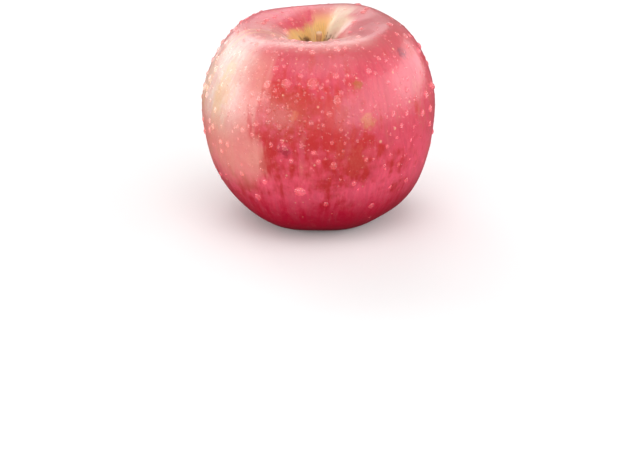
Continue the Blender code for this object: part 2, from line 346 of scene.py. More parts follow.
def ease(value, low, high):
    """Rises smoothly from 0 at low to 1 at high."""
    share = min(max((value - low) / (high - low), 0.0), 1.0)
    return share * share * (3.0 - 2.0 * share)


def ribs(azimuth):
    """Height of the ribs round the fruit, about 1 on a rib and about 0 between two."""
    return sum(exp(RIB_SHARPNESS * (cos(azimuth - radians(a)) - 1.0)) for a in RIB_AZIMUTHS)


RIB_MEAN = sum(ribs(radians(degree)) for degree in range(360)) / 360.0


def curve(start, start_handle, end_handle, end, points):
    """Points of one smooth curve of the outline, each (radius, 0, height)."""
    knots = [Vector((p[0], 0.0, p[1])) for p in (start, start_handle, end_handle, end)]
    return interpolate_bezier(*knots, points)


def outline(points):
    """Half outline of the fruit, from the axis in the calyx basin to the axis in the stem cavity."""
    radius = WIDTH / 2
    upper_height = HEIGHT - WIDEST_HEIGHT
    basin_span = LIP_RADIUS - CALYX_SOCKET_RADIUS
    lower_span = radius - LIP_RADIUS
    upper_span = radius - CREST_RADIUS
    cavity_span = CREST_RADIUS - STEM_SOCKET_RADIUS
    cavity_floor = HEIGHT - CAVITY_DEPTH
    basin = curve(
        (CALYX_SOCKET_RADIUS, BASIN_DEPTH),
        (CALYX_SOCKET_RADIUS + BASIN_PULL[0] * basin_span, BASIN_DEPTH),
        (LIP_RADIUS - BASIN_PULL[1] * basin_span, 0.0),
        (LIP_RADIUS, 0.0), points)
    lower = curve(
        (LIP_RADIUS, 0.0),
        (LIP_RADIUS + LOWER_PULL[0] * lower_span, 0.0),
        (radius, WIDEST_HEIGHT * (1.0 - LOWER_PULL[1])),
        (radius, WIDEST_HEIGHT), points)
    upper = curve(
        (radius, WIDEST_HEIGHT),
        (radius, WIDEST_HEIGHT + UPPER_PULL[0] * upper_height),
        (CREST_RADIUS + UPPER_PULL[1] * upper_span, HEIGHT),
        (CREST_RADIUS, HEIGHT), points)
    cavity = curve(
        (CREST_RADIUS, HEIGHT),
        (CREST_RADIUS - CAVITY_PULL[0] * cavity_span, HEIGHT),
        (STEM_SOCKET_RADIUS + CAVITY_PULL[1] * cavity_span, cavity_floor),
        (STEM_SOCKET_RADIUS, cavity_floor), points)
    calyx_socket = [
        Vector((0.0, 0.0, BASIN_DEPTH + CALYX_SOCKET_DEPTH)),
        Vector((CALYX_SOCKET_RADIUS, 0.0, BASIN_DEPTH + CALYX_SOCKET_DEPTH))]
    stem_socket = [
        Vector((STEM_SOCKET_RADIUS, 0.0, cavity_floor - STEM_SOCKET_DEPTH)),
        Vector((0.0, 0.0, cavity_floor - STEM_SOCKET_DEPTH))]
    return calyx_socket + basin + lower[1:] + upper[1:] + cavity[1:] + stem_socket


def grown(point):
    """Where a point of the plain turned form lies on the fruit as it grew."""
    radius = point.xy.length
    height = point.z
    rib = ribs(atan2(point.y, point.x))
    off_axis = ease(radius, *AXIS_SPAN)
    near_base = 1.0 - ease(height, *BASE_SPAN)
    near_top = ease(height, *TOP_SPAN)
    in_cavity = near_top * (1.0 - ease(radius, *CAVITY_SPAN))
    swell = RIB_SWELL_MIDDLE + RIB_SWELL_BASE * near_base + RIB_SWELL_TOP * near_top
    outward = 1.0 + off_axis * swell * (rib - RIB_MEAN)
    drop = RIB_FOOT_DROP * (RIB_FOOT_LEVEL - rib) * near_base
    rise = RIB_SHOULDER_RISE * (rib - RIB_MEAN) * (near_top + CAVITY_FOLD * in_cavity)
    narrowing = 1.0 - CAVITY_OVAL * in_cavity * off_axis
    x = point.x * outward * (1.0 + OVAL) * narrowing
    y = point.y * outward
    tilt = ease(height, *TILT_SPAN) * (SHOULDER_TILT[0] * x + SHOULDER_TILT[1] * y)
    lean = LEAN * ease(height, *LEAN_SPAN)
    z = height + (drop + rise) * off_axis + tilt / (WIDTH / 2)
    return Vector((x + lean, y, z))


def creased(plain, point, unevenness):
    """The grown point with the fine creases of cavity and basin, and the soft dents of the skin."""
    radius = plain.xy.length
    azimuth = atan2(plain.y, plain.x)
    off_axis = ease(radius, *CREASE_AXIS_SPAN)
    cavity = ease(plain.z, *FOLD_HEIGHTS) * (1.0 - ease(radius, *FOLD_RADII))
    basin = (1.0 - ease(plain.z, *PUCKER_HEIGHTS)) * (1.0 - ease(radius, *PUCKER_RADII))
    wander = noise.noise(Vector((cos(azimuth), sin(azimuth), 3.0 + CREASE_WANDER_PER_METRE * plain.z)))
    wander *= CREASE_WANDER
    folds = FOLD_HEIGHT * cavity * sin(FOLD_COUNT * azimuth + wander)
    puckers = PUCKER_HEIGHT * basin * sin(PUCKER_COUNT * azimuth + 1.5 * wander)
    dents = noise.noise(point * DENTS_PER_METRE)
    dents += FINE_DENT_SHARE * noise.noise(point * FINE_DENTS_PER_METRE)
    outward = Vector((plain.x, plain.y, 0.0))
    if radius > MERGE:
        outward /= radius
    return point + off_axis * (outward * unevenness * dents + Vector((0.0, 0.0, folds + puckers)))


def fit_box(bm, box):
    """Brings a mesh exactly into the box of the node that it stands for."""
    low, high = box
    for axis in range(3):
        values = [vert.co[axis] for vert in bm.verts]
        least, most = min(values), max(values)
        scale = (high[axis] - low[axis]) / (most - least)
        for vert in bm.verts:
            vert.co[axis] = low[axis] + (vert.co[axis] - least) * scale


def fruit_mesh(sizes):
    """The fruit as grown, with its level foot, in the place of its node."""
    bm = bmesh.new()
    verts = [bm.verts.new(point) for point in outline(sizes.rings)]
    edges = [bm.edges.new(pair) for pair in zip(verts, verts[1:])]
    bmesh.ops.spin(
        bm, geom=verts + edges, cent=(0, 0, 0), axis=(0, 0, 1),
        angle=2 * pi, steps=sizes.segments, use_merge=True)
    bmesh.ops.remove_doubles(bm, verts=bm.verts, dist=MERGE)
    for vert in bm.verts:
        plain = vert.co.copy()
        vert.co = creased(plain, grown(plain), sizes.unevenness)
    bmesh.ops.bisect_plane(
        bm, geom=bm.verts[:] + bm.edges[:] + bm.faces[:], dist=0.01 * MM,
        plane_co=(0.0, 0.0, 0.0), plane_no=(0.0, 0.0, 1.0), clear_inner=True)
    rims = [edge for edge in bm.edges if edge.is_boundary]
    bmesh.ops.holes_fill(bm, edges=rims, sides=0)
    fit_box(bm, FRUIT_BOX)
    bmesh.ops.recalc_face_normals(bm, faces=bm.faces)
    return bm


def finished(bm, name):
    """A mesh of that name from the working mesh, which is freed."""
    mesh = bpy.data.meshes.new(name)
    bm.to_mesh(mesh)
    bm.free()
    return mesh


def append(bm, mesh):
    """Adds the mesh to the working mesh, and removes it."""
    bm.from_mesh(mesh)
    bpy.data.meshes.remove(mesh)


def add_piece(name, bm, node=None, sharp=radians(60.0)):
    """Makes a piece that rides on the fruit's body, and stands for a node if one is named."""
    mesh = finished(bm, name)
    mesh.shade_smooth()
    mesh.set_sharp_from_angle(angle=sharp)
    piece = bpy.data.objects.new(name, mesh)
    bpy.context.scene.collection.objects.link(piece)
    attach(piece, "root")
    if node:
        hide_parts(node)
    return piece


class Board:
    """The node tree of a material or a group, with short calls for the nodes that it takes."""

    def __init__(self, tree):
        self.tree = tree

    def node(self, kind, sockets=None, **settings):
        """A new node with its settings, and with what its named or numbered sockets take."""
        made = self.tree.nodes.new("ShaderNode" + kind)
        for name, value in settings.items():
            setattr(made, name, value)
        for label, value in (sockets or {}).items():
            self.feed(made.inputs[label], value)
        return made

    def feed(self, socket, value):
        """Links a socket to the value if that is a socket too, and sets it otherwise."""
        if isinstance(value, bpy.types.NodeSocket):
            self.tree.links.new(value, socket)
        elif isinstance(value, (tuple, Color)) and socket.type == "RGBA":
            socket.default_value = (*value, 1.0)
        else:
            socket.default_value = value

    def math(self, operation, first, second=0.0, clamp=False):
        """A sum, product or other arithmetic on two values."""
        sockets = {0: first, 1: second}
        return self.node("Math", sockets, operation=operation, use_clamp=clamp).outputs[0]

    def total(self, value, *others):
        """The sum of several values."""
        for other in others:
            value = self.math("ADD", value, other)
        return value

    def product(self, value, *others):
        """The product of several values."""
        for other in others:
            value = self.math("MULTIPLY", value, other)
        return value

    def centred(self, mask, share):
        """A mask from 0 to 1, brought to lie about 0 and scaled."""
        return self.product(self.math("SUBTRACT", mask, 0.5), share)

    def sharpened(self, mask, contrast):
        """A mask spread about 0.5 by the contrast, and kept from 0 to 1."""
        return self.math("ADD", self.centred(mask, contrast), 0.5, clamp=True)

    def vector(self, operation, first, second=(0.0, 0.0, 0.0), output="Vector"):
        """Arithmetic on two vectors, with a vector result unless another output is named."""
        return self.node("VectorMath", {0: first, 1: second}, operation=operation).outputs[output]

    def measure(self, operation, first, second=(0.0, 0.0, 0.0)):
        """Length, distance or dot product of vectors."""
        return self.vector(operation, first, second, "Value")

    def parts(self, vector):
        """The three parts of a vector."""
        return self.node("SeparateXYZ", {0: vector}).outputs

    def ramp(self, value, low, high, start=0.0, end=1.0):
        """Rises smoothly from start to end as the value goes from low to high."""
        sockets = {"Value": value, "From Min": low, "From Max": high, "To Min": start, "To Max": end}
        return self.node("MapRange", sockets, interpolation_type="SMOOTHSTEP").outputs["Result"]

    def mix(self, share, first, second):
        """Goes from the first colour to the second with the share."""
        return self.node("Mix", {"Factor": share, 6: first, 7: second}, data_type="RGBA").outputs[2]

    def noise(self, where, scale=1.0, detail=2.0, roughness=0.5):
        """Soft noise about 0.5."""
        sockets = {"Vector": where, "Scale": scale, "Detail": detail, "Roughness": roughness}
        return self.node("TexNoise", sockets).outputs["Fac"]

    def bump(self, height, strength, distance, under=None):
        """The normal of a relief, on top of another relief if its normal is given."""
        sockets = {"Strength": strength, "Distance": distance, "Height": height}
        if under is not None:
            sockets["Normal"] = under
        return self.node("Bump", sockets).outputs["Normal"]

    def group(self, tree, **values):
        """A node group with its own values, whose outputs are read by name."""
        made = self.node("Group", node_tree=tree)
        for name, item in values.items():
            self.feed(made.inputs[name.replace("_", " ").capitalize()], item)
        return made.outputs

    def here(self):
        """Place on the piece in millimetres, from its Object coordinates."""
        place = self.node("TexCoord").outputs["Object"]
        return self.node("Mapping", {"Vector": place, "Scale": (1 / MM,) * 3}).outputs["Vector"]


# Shared effects. Mottle: how much finer its grain is, the parts of cloud and grain, its contrast
MOTTLE_FINER = 4.7
MOTTLE_CLOUD = 0.65
MOTTLE_GRAIN = 0.35
MOTTLE_CONTRAST = 2.2

# Streaks: how often they sway along a millimetre, how many millimetres far, and their contrast
STREAK_SWAYS = 0.07
STREAK_SWAY = 4.0
STREAK_CONTRAST = 3.0

# Spots and dots: how fine the ragged edge of a spot is, and the full core of each as a share of its
# radius. A dot stands where its chance is above the least one, and is larger for a higher chance
SPOT_EDGE_SCALE = 0.6
SPOT_CORE = 0.25
DOT_CORE = 0.4
DOT_LEAST_CHANCE = 0.45
DOT_GROWTH = (0.35, 1.0)


def new_group(name, vectors, values, results):
    """A node group with named sockets. Returns its board, what it takes and what it gives."""
    tree = bpy.data.node_groups.new(name, "ShaderNodeTree")
    for label in vectors:
        tree.interface.new_socket(name=label, in_out="INPUT", socket_type="NodeSocketVector")
    for label, usual in values.items():
        socket = tree.interface.new_socket(name=label, in_out="INPUT", socket_type="NodeSocketFloat")
        socket.default_value = usual
    for label in results:
        tree.interface.new_socket(name=label, in_out="OUTPUT", socket_type="NodeSocketFloat")
    taken = tree.nodes.new("NodeGroupInput")
    given = tree.nodes.new("NodeGroupOutput")
    return Board(tree), taken.outputs, given.inputs


def mottle_group():
    """Cloudy unevenness at two scales, from 0 to 1, with a height for the bump."""
    board, taken, given = new_group(
        "mottle", ("Place",), {"Size": 3.0, "Contrast": 1.0}, ("Mask", "Height"))
    scale = board.math("DIVIDE", 1.0, taken["Size"])
    cloud = board.noise(taken["Place"], scale, detail=3.0, roughness=0.6)
    grain = board.noise(taken["Place"], board.product(scale, MOTTLE_FINER))
    both = board.total(board.product(cloud, MOTTLE_CLOUD), board.product(grain, MOTTLE_GRAIN))
    contrast = board.product(taken["Contrast"], MOTTLE_CONTRAST)
    board.feed(given["Mask"], board.sharpened(both, contrast))
    board.feed(given["Height"], grain)
    return board.tree


def streak_group():
    """Streaks that run from pole to pole, from 0 to 1, broken along their length."""
    board, taken, given = new_group(
        "pole_streaks", ("Place",), {"Round": 20.0, "Along": 0.05, "Contrast": 1.0}, ("Mask",))
    sway = board.node("TexNoise", {"Vector": taken["Place"], "Scale": STREAK_SWAYS}).outputs["Color"]
    shift = board.vector("SUBTRACT", sway, (0.5, 0.5, 0.5))
    shift = board.vector("MULTIPLY", shift, (STREAK_SWAY,) * 3)
    place = board.vector("ADD", taken["Place"], shift)
    around = board.parts(board.vector("NORMALIZE", board.vector("MULTIPLY", place, (1.0, 1.0, 0.0))))
    joined = board.node("CombineXYZ", {
        0: board.product(around[0], taken["Round"]),
        1: board.product(around[1], taken["Round"]),
        2: board.product(board.parts(place)[2], taken["Along"])})
    streak = board.noise(joined.outputs[0], detail=3.0, roughness=0.55)
    contrast = board.product(taken["Contrast"], STREAK_CONTRAST)
    board.feed(given["Mask"], board.sharpened(streak, contrast))
    return board.tree


def spot_group():
    """A soft spot about a centre, from 0 outside to 1 inside, with a ragged edge."""
    board, taken, given = new_group(
        "soft_spot", ("Place", "Centre"), {"Radius": 3.0, "Ragged": 0.5}, ("Mask",))
    away = board.measure("DISTANCE", taken["Place"], taken["Centre"])
    share = board.math("DIVIDE", away, taken["Radius"])
    rough = board.centred(board.noise(taken["Place"], SPOT_EDGE_SCALE, detail=3.0), taken["Ragged"])
    board.feed(given["Mask"], board.ramp(board.total(share, rough), 1.0, SPOT_CORE))
    return board.tree


def dot_group():
    """Small round dots scattered through space, from 0 to 1, of many sizes."""
    board, taken, given = new_group(
        "scattered_dots", ("Place",), {"Spacing": 3.0, "Radius": 0.4}, ("Mask",))
    scale = board.math("DIVIDE", 1.0, taken["Spacing"])
    cells = board.node("TexVoronoi", {"Vector": taken["Place"], "Scale": scale}, feature="F1")
    away = board.product(cells.outputs["Distance"], taken["Spacing"])
    chance = board.parts(cells.outputs["Color"])[0]
    rim = board.product(taken["Radius"], board.ramp(chance, *DOT_GROWTH))
    dot = board.ramp(away, rim, board.product(rim, DOT_CORE))
    present = board.math("GREATER_THAN", chance, DOT_LEAST_CHANCE)
    board.feed(given["Mask"], board.product(dot, present))
    return board.tree


def effect(name):
    """The shared node group of that name, built once."""
    makers = {
        "mottle": mottle_group, "pole_streaks": streak_group,
        "soft_spot": spot_group, "scattered_dots": dot_group}
    return bpy.data.node_groups.get(name) or makers[name]()


def new_material(name, uniform=None):
    """A material, its board and its shader, with the values that are the same all over set."""
    material = bpy.data.materials.new(name)
    material.use_nodes = True
    shader = material.node_tree.nodes["Principled BSDF"]
    for label, value in (uniform or {}).items():
        shader.inputs[label].default_value = value
    return material, Board(material.node_tree), shader


def camera_place():
    """Where the camera stands, and how it is turned."""
    middle = Vector((0.0, 0.0, HEIGHT / 2))
    away = Vector((0.0, -cos(CAMERA_ELEVATION), sin(CAMERA_ELEVATION)))
    focal = FRUIT_PIXELS_WIDE * CAMERA_DISTANCE / WIDTH
    turn = atan((FRUIT_PIXEL[0] - PHOTO_SIZE[0] / 2) / focal)
    rise = atan((PHOTO_SIZE[1] / 2 - FRUIT_PIXEL[1]) / focal)
    tilt = pi / 2 - CAMERA_ELEVATION - rise
    return middle + away * CAMERA_DISTANCE, (tilt, 0.0, turn), focal


def seen_point(tree, pixel):
    """The point and the normal of the skin behind a pixel of the photograph."""
    place, turn, focal = camera_place()
    across = (pixel[0] - PHOTO_SIZE[0] / 2) / focal
    down = (pixel[1] - PHOTO_SIZE[1] / 2) / focal
    aim = Matrix.Rotation(turn[2], 3, "Z") @ Matrix.Rotation(turn[0], 3, "X")
    ray = aim @ Vector((across, -down, -1.0))
    point, normal, _, _ = tree.ray_cast(place, ray.normalized())
    if point is None:
        raise RuntimeError(f"no skin behind pixel {pixel}")
    return point, normal


# Marks that the photograph shows on the skin, among them a painted drop shadow and a painted patch of
# light: pixel, radius in millimetres, colour, strength
SKIN_MARKS = (
    ((286, 114), 12.0, tone(192, 46, 22), 0.80),
    ((294, 117), 2.4, tone(224, 116, 74), 0.45),
    ((368, 121), 3.6, tone(222, 150, 96), 0.45),
    ((358, 84), 2.2, tone(186, 92, 40), 0.80),
    ((402, 53), 2.6, tone(130, 60, 76), 0.65),
    # Painted shadow of a water drop
    ((285, 152), 3.0, tone(150, 24, 44), 0.60),
    ((222, 92), 8.0, tone(236, 186, 128), 0.40),
    ((230, 70), 5.0, tone(240, 200, 150), 0.40),
    ((357, 162), 7.0, tone(222, 112, 92), 0.20),
    ((346, 150), 6.0, tone(222, 112, 92), 0.16),
    # Painted light: a paler patch on the bulge behind the cavity
    ((299, 15), 8.0, tone(240, 126, 136), 0.42),
)


# Directions on the skin: azimuth in degrees from +X, then where a part of the colour begins and
# where it is whole, as the cosine of the angle from that azimuth. The photograph looks at -90
FRONT_AZIMUTH = -65.0
BAND_EDGE_AZIMUTH = -47.0
BEAM_AZIMUTH = 48.0
SCARLET_SIDE = (-92.0, 0.80, 0.97)
TOP_SIDE = (20.0, -0.9, 0.9)
SCREENED_SIDE = (124.0, 0.94, 0.72)
LEDGE_SIDE = (-100.0, 0.35, 0.85)
BAND_SIDE = (-137.0, -0.2, 0.5)
HIGHLIGHT_SIDE = (-165.0, 0.76, 0.97)
YELLOW_SIDE = (-160.0, 0.90, 0.99)
WEDGE_SIDE = (80.0, 0.945, 0.965)
SLANT_SIDE = (96.0, 0.90, 0.995)
SEEN_WALL_SIDE = (125.0, 0.36, 0.62)
NEAR_WALL_SIDE = (-110.0, 0.05, 0.50)
CREST_SIDE = (60.0, 0.955, 0.992)
CREAM_SIDE = (80.0, 0.62, 0.90)
RUSSET_SHADE_SIDE = (100.0, 0.3, 0.9)

# Heights on the skin in millimetres: where a part of the colour begins and where it is whole
BASE_LEVEL = (30.0, 5.0)
SHOULDER_LEVEL = (54.0, 68.0)
SCARLET_TOP = (66.0, 56.0)
SCARLET_BOTTOM = (18.0, 34.0)
# Heights over which the painted light of the lower flanks comes in
LIT_PINK_LEVEL = (46.0, 26.0)
DUSKY_LEVEL = (62.0, 72.5)
LEDGE_LEVEL = (64.0, 71.0)
FLARE_TOP = (44.0, 38.0)
FLARE_BOTTOM = (22.0, 30.0)
BAND_WIDER = (50.0, 57.0)
BAND_FAR = (34.0, 50.0)
BAND_BOTTOM = (17.0, 32.0)
BAND_TOP = (72.0, 65.0)
HIGHLIGHT_LEVEL = (34.0, 52.0)
LIT_LOWER_PEACH_LEVEL = (52.0, 32.0)
YELLOW_LEVEL = (30.0, 50.0)
CAVITY_LEVEL = (44.0, 52.0)
BASIN_LEVEL = (20.0, 12.0)

# Distances from the axis in millimetres, in the same way
LEDGE_RING = (31.0, 24.0)
WEDGE_RING = (23.5, 17.0)
WEDGE_GOLD_RING = (19.0, 13.5)
NEAR_OCHRE_RING = (11.0, 8.0)
OCHRE_RING = (12.6, 9.4)
BEAM_RING = (10.0, 19.0)
CREST_RING = (14.0, 18.0)
CREAM_RING = (26.0, 17.0)
BASIN_RING = (12.0, 6.5)

# How far the russet and the painted shade of the deep cavity reach from the axis: opposite their side,
# on their side, where the painted shade runs further up the far wall, and their soft edge
RUSSET_SHADE_REACH = (4.0, 7.0)
RUSSET_SHADE_EDGE = 2.6

# Streaks of the skin: name, how many lie round the fruit, how often they break along a millimetre
STREAKS = (("wide", 6.0, 0.035), ("fine", 17.0, 0.085), ("thin", 40.0, 0.22))

# Lenticels: spacing and radius in millimetres, and strength
LENTICELS = ((2.6, 0.42, 0.50), (5.4, 0.75, 0.75))

# Fine beads of water about the crowd of drops: spacing, radius and reach in millimetres, and the
# strength of their painted sheen
BEAD_SPACING = 1.5
BEAD_RADIUS = 0.62
MIST_REACH = 44.0
BEAD_SHEEN_STRENGTH = 0.32

# Raggedness of the edge of the beaded part, and of each mark above
MIST_RAGGED = 0.8
MARK_RAGGED = 1.8

# Blush: how much of it lies everywhere, what the front, the base and the shoulder add, and the
# amounts at which it begins and is whole
BLUSH_EVERYWHERE = 0.81
BLUSH_FRONT = 0.14
BLUSH_BASE = 0.18
BLUSH_SHOULDER = 0.24
BLUSH_AMOUNTS = (0.12, 0.92)
SCARLET_SHARE = 0.40
SCARLET_AMOUNTS = (0.45, 1.05)
CRIMSON_AMOUNTS = (0.1, 1.0)

# Strength of the dark and the pale streaks, the speckles, the flare of the band, and the cavity's
# wedge and crest. The ochre is shifted in millimetres where the wall slants
DARK_STREAK_STRENGTH = 0.22
PALE_STREAK_STRENGTH = 0.06
SPECKLE_STRENGTH = 0.12
FLARE_STRENGTH = 0.10
WEDGE_STRENGTH = 0.85
CREST_STRENGTH = 0.85
SLANT_SHIFT = -3.2

# Roughness of the skin, and what its grain, its lenticels and the russet add
SKIN_ROUGHNESS = 0.26
GRAIN_ROUGHNESS = 0.10
LENTICEL_ROUGHNESS = 0.15
RUSSET_ROUGHNESS = 0.40

# Relief of the materials: strength, and depth in metres
DIMPLES = (0.6, 0.30 * MM)
PORES = (0.40, 0.08 * MM)
BEADS = (0.6, 0.22 * MM)
BARK_RELIEF = (0.6, 0.12 * MM)
SEPAL_RELIEF = (0.6, 0.10 * MM)

# What is the same all over the skin
SKIN_UNIFORM = {
    "Subsurface Weight": 0.08, "Subsurface Radius": (1.0, 0.35, 0.22), "Subsurface Scale": 1.6 * MM,
    "Coat Weight": 0.15, "Coat Roughness": 0.15}


class Skin:
    """The skin's board, where a point of the skin lies, and the marks that its layers share."""

    def __init__(self, board):
        self.board = board
        self.place = board.here()
        self.height = board.parts(self.place)[2]
        level = board.vector("MULTIPLY", self.place, (1.0, 1.0, 0.0))
        self.radius = board.measure("LENGTH", level)
        self.around = board.vector("NORMALIZE", level)
        self.marks = {
            name: self.mask("pole_streaks", round=around, along=along, contrast=1.1)
            for name, around, along in STREAKS}
        self.marks["patch"] = self.mask("mottle", size=16.0, contrast=1.2)
        self.marks["cloud"] = self.mask("mottle", size=5.0, contrast=1.2)
        grain = board.group(effect("mottle"), place=self.place, size=1.2, contrast=1.0)
        self.marks["grain"] = grain["Mask"]
        self.grain_height = grain["Height"]

    def mask(self, name, **values):
        """The mask of a shared effect on the skin."""
        return self.board.group(effect(name), place=self.place, **values)["Mask"]

    def toward(self, azimuth):
        """1 on the side of the azimuth, which is in degrees, and -1 on the opposite side."""
        turn = radians(azimuth)
        return self.board.measure("DOT_PRODUCT", self.around, (cos(turn), sin(turn), 0.0))

    def side(self, direction, start=0.0, end=1.0, ragged=()):
        """Goes from start to end towards a direction, over an edge that may be ragged."""
        azimuth, low, high = direction
        return self.board.ramp(self.board.total(self.toward(azimuth), *ragged), low, high, start, end)

    def level(self, heights, start=0.0, end=1.0):
        """Goes from start to end over the heights."""
        return self.board.ramp(self.height, *heights, start, end)

    def ring(self, radii, start=0.0, end=1.0):
        """Goes from start to end over the distances from the axis."""
        return self.board.ramp(self.radius, *radii, start, end)

    def cloudy(self, start, end):
        """Goes from start to end with the cloudy unevenness."""
        return self.board.ramp(self.marks["cloud"], 0.1, 0.9, start, end)

    def uneven(self, **shares):
        """The named marks about 0, each times its share, in one sum."""
        return self.board.total(
            *(self.board.centred(self.marks[name], share) for name, share in shares.items()))


def blush_layer(skin, tones):
    """Red over the yellow ground: whole on the front, broken into streaks at the back, with painted
    light on the lower flanks, deeper red at the base that is partly painted shade, and a painted
    highlight on the near rim of the cavity.
    """
    board, marks = skin.board, skin.marks
    front = skin.toward(FRONT_AZIMUTH)
    low = skin.level(BASE_LEVEL)
    high = skin.level(SHOULDER_LEVEL)
    uneven = board.product(
        skin.uneven(wide=0.42, fine=0.42, thin=0.12, cloud=0.30),
        board.ramp(front, 0.7, -0.4, 0.45, 1.05), board.ramp(high, 0.0, 1.0, 1.0, 0.55))
    share = board.total(
        BLUSH_EVERYWHERE, board.product(front, BLUSH_FRONT), board.product(low, BLUSH_BASE),
        board.product(high, BLUSH_SHOULDER), uneven)
    blush = board.ramp(share, *BLUSH_AMOUNTS)

    middle = board.product(skin.side(SCARLET_SIDE), skin.level(SCARLET_TOP), skin.level(SCARLET_BOTTOM))
    middle = board.product(middle, SCARLET_SHARE)
    patches = board.total(middle, marks["patch"], skin.uneven(fine=0.35))
    # Painted light: a brighter, warmer pink on the lower flanks, standing in for light that reaches them
    # from below
    pink = board.mix(skin.level(LIT_PINK_LEVEL), tones.rose, LIT_LOWER_PINK)
    red = board.mix(board.ramp(patches, *SCARLET_AMOUNTS), pink, tones.scarlet)
    # Towards the base the red deepens: partly the skin's own colour, partly painted shade and a painted
    # red bounce from below
    deep = board.total(low, skin.uneven(fine=0.22, cloud=0.22))
    red = board.mix(board.ramp(deep, *CRIMSON_AMOUNTS), red, tones.crimson_and_shade)
    dark = board.product(board.ramp(marks["fine"], 0.55, 0.15), DARK_STREAK_STRENGTH)
    red = board.mix(dark, red, DARK_STREAK)
    pale = board.product(board.ramp(marks["thin"], 0.60, 1.0), PALE_STREAK_STRENGTH)
    red = board.mix(pale, red, PALE_STREAK)
    dusky = board.product(
        skin.level(DUSKY_LEVEL), skin.side(TOP_SIDE, 0.75, 1.1), skin.side(SCREENED_SIDE),
        skin.cloudy(0.60, 0.95))
    red = board.mix(dusky, red, tones.dusky)
    # Painted highlight: pale pink along the near rim of the cavity, in place of the sheen of the lights
    # behind the fruit
    ledge_highlight = board.product(
        skin.level(LEDGE_LEVEL), skin.side(LEDGE_SIDE), skin.ring(LEDGE_RING), skin.cloudy(0.50, 1.0))
    red = board.mix(ledge_highlight, red, LEDGE_HIGHLIGHT_PINK)
    return board.mix(blush, tones.ground, red)


def pale_band_layer(skin, tones, colour):
    """The pale band left of the front, with a crisp edge on its right: partly pale skin, partly a
    painted reflection of the soft light on the left.
    """
    board, marks = skin.board, skin.marks
    side = board.total(skin.toward(BAND_EDGE_AZIMUTH), skin.uneven(fine=0.09, cloud=0.05))
    flare = board.product(skin.level(FLARE_TOP), skin.level(FLARE_BOTTOM), FLARE_STRENGTH)
    outer = board.total(skin.level(BAND_WIDER, 0.33, 0.45), flare)
    inner = board.total(skin.level(BAND_WIDER, 0.17, 0.26), flare)
    edge = board.ramp(side, outer, inner)
    fade = board.ramp(side, -0.80, 0.0, skin.level(BAND_FAR, 0.35, 0.95), 1.0)
    broken = board.ramp(board.total(side, skin.uneven(fine=0.50)), -0.98, -0.66)
    # Pale band: partly pale skin, partly a painted reflection of the soft light on the left
    band = board.product(
        edge, fade, broken, skin.side(BAND_SIDE), skin.level(BAND_BOTTOM), skin.level(BAND_TOP),
        skin.cloudy(0.70, 0.92))
    # Painted highlight: near white on the upper left of the band, where the soft light on the left
    # shines
    left_highlight = board.product(
        skin.side(HIGHLIGHT_SIDE), skin.level(HIGHLIGHT_LEVEL),
        board.ramp(marks["thin"], 0.0, 0.9, 0.70, 1.0))
    # Painted light: the band turns a brighter pink towards its foot, where the light on the left is weak
    peach = board.mix(skin.level(LIT_LOWER_PEACH_LEVEL), tones.peach, LIT_LOWER_PEACH)
    colour = board.mix(band, colour, board.mix(left_highlight, peach, HIGHLIGHT_PEACH))
    yellow = board.product(
        skin.side(YELLOW_SIDE), skin.level(YELLOW_LEVEL),
        board.ramp(marks["wide"], 0.35, 0.75, 0.05, 0.35))
    return board.mix(yellow, colour, tones.ground)


def cavity_layer(skin, tones, colour):
    """Peach wedge, cream ridge with a painted reflection, ochre wall and dark russet floor with painted
    shade of the stem cavity.

    Returns the colour, and where the wall is ochre and where the floor is russet with painted shade.
    """
    board, marks = skin.board, skin.marks
    inside = skin.level(CAVITY_LEVEL)
    ragged = skin.uneven(fine=0.020, cloud=0.012)
    wedge = board.product(skin.side(WEDGE_SIDE, ragged=[ragged]), skin.ring(WEDGE_RING), inside)
    peachy = board.mix(skin.ring(WEDGE_GOLD_RING), WEDGE_PEACH, WEDGE_GOLD)
    colour = board.mix(board.product(wedge, WEDGE_STRENGTH), colour, peachy)

    slant = skin.side(SLANT_SIDE, 0.0, SLANT_SHIFT)
    edge = board.total(skin.radius, slant, skin.uneven(fine=1.0, cloud=1.6))
    near_wall = board.product(skin.side(NEAR_WALL_SIDE), board.ramp(edge, *NEAR_OCHRE_RING))
    seen_wall = board.product(skin.side(SEEN_WALL_SIDE), board.ramp(edge, *OCHRE_RING))
    ochre = board.product(board.math("MAXIMUM", seen_wall, near_wall), inside)
    wall = board.mix(board.ramp(marks["thin"], 0.3, 0.9), tones.ochre, DULL_OCHRE)
    colour = board.mix(ochre, colour, wall)

    # Cream ridge over the right wall of the cavity: partly yellow ground, partly a painted reflection of
    # the lights
    side = board.total(skin.toward(BEAM_AZIMUTH), ragged)
    reflection_beam = board.ramp(side, skin.ring(BEAM_RING, 0.86, 0.955), 0.985)
    crest = board.product(skin.side(CREST_SIDE, ragged=[ragged]), CREST_STRENGTH)
    ridge = board.mix(skin.ring(CREST_RING), reflection_beam, crest)
    veiled = board.ramp(marks["cloud"], 0.0, 0.8, 0.70, 0.92)
    cream = board.product(ridge, skin.ring(CREAM_RING), inside, veiled)
    warm = board.mix(skin.side(CREAM_SIDE), WARM_CREAM, tones.cream)
    colour = board.mix(cream, colour, warm)

    # Dark floor: partly russet, partly painted shade of the deep cavity, with a painted dark line
    # further up the far wall
    rim = board.total(skin.radius, skin.uneven(cloud=2.6, fine=2.2, grain=1.4))
    deep = skin.side(RUSSET_SHADE_SIDE, *RUSSET_SHADE_REACH)
    russet = board.product(board.ramp(rim, board.total(deep, RUSSET_SHADE_EDGE), deep), inside)
    brown = board.mix(board.ramp(marks["grain"], 0.2, 0.9), tones.russet, PALE_RUSSET)
    return board.mix(russet, colour, brown), ochre, russet


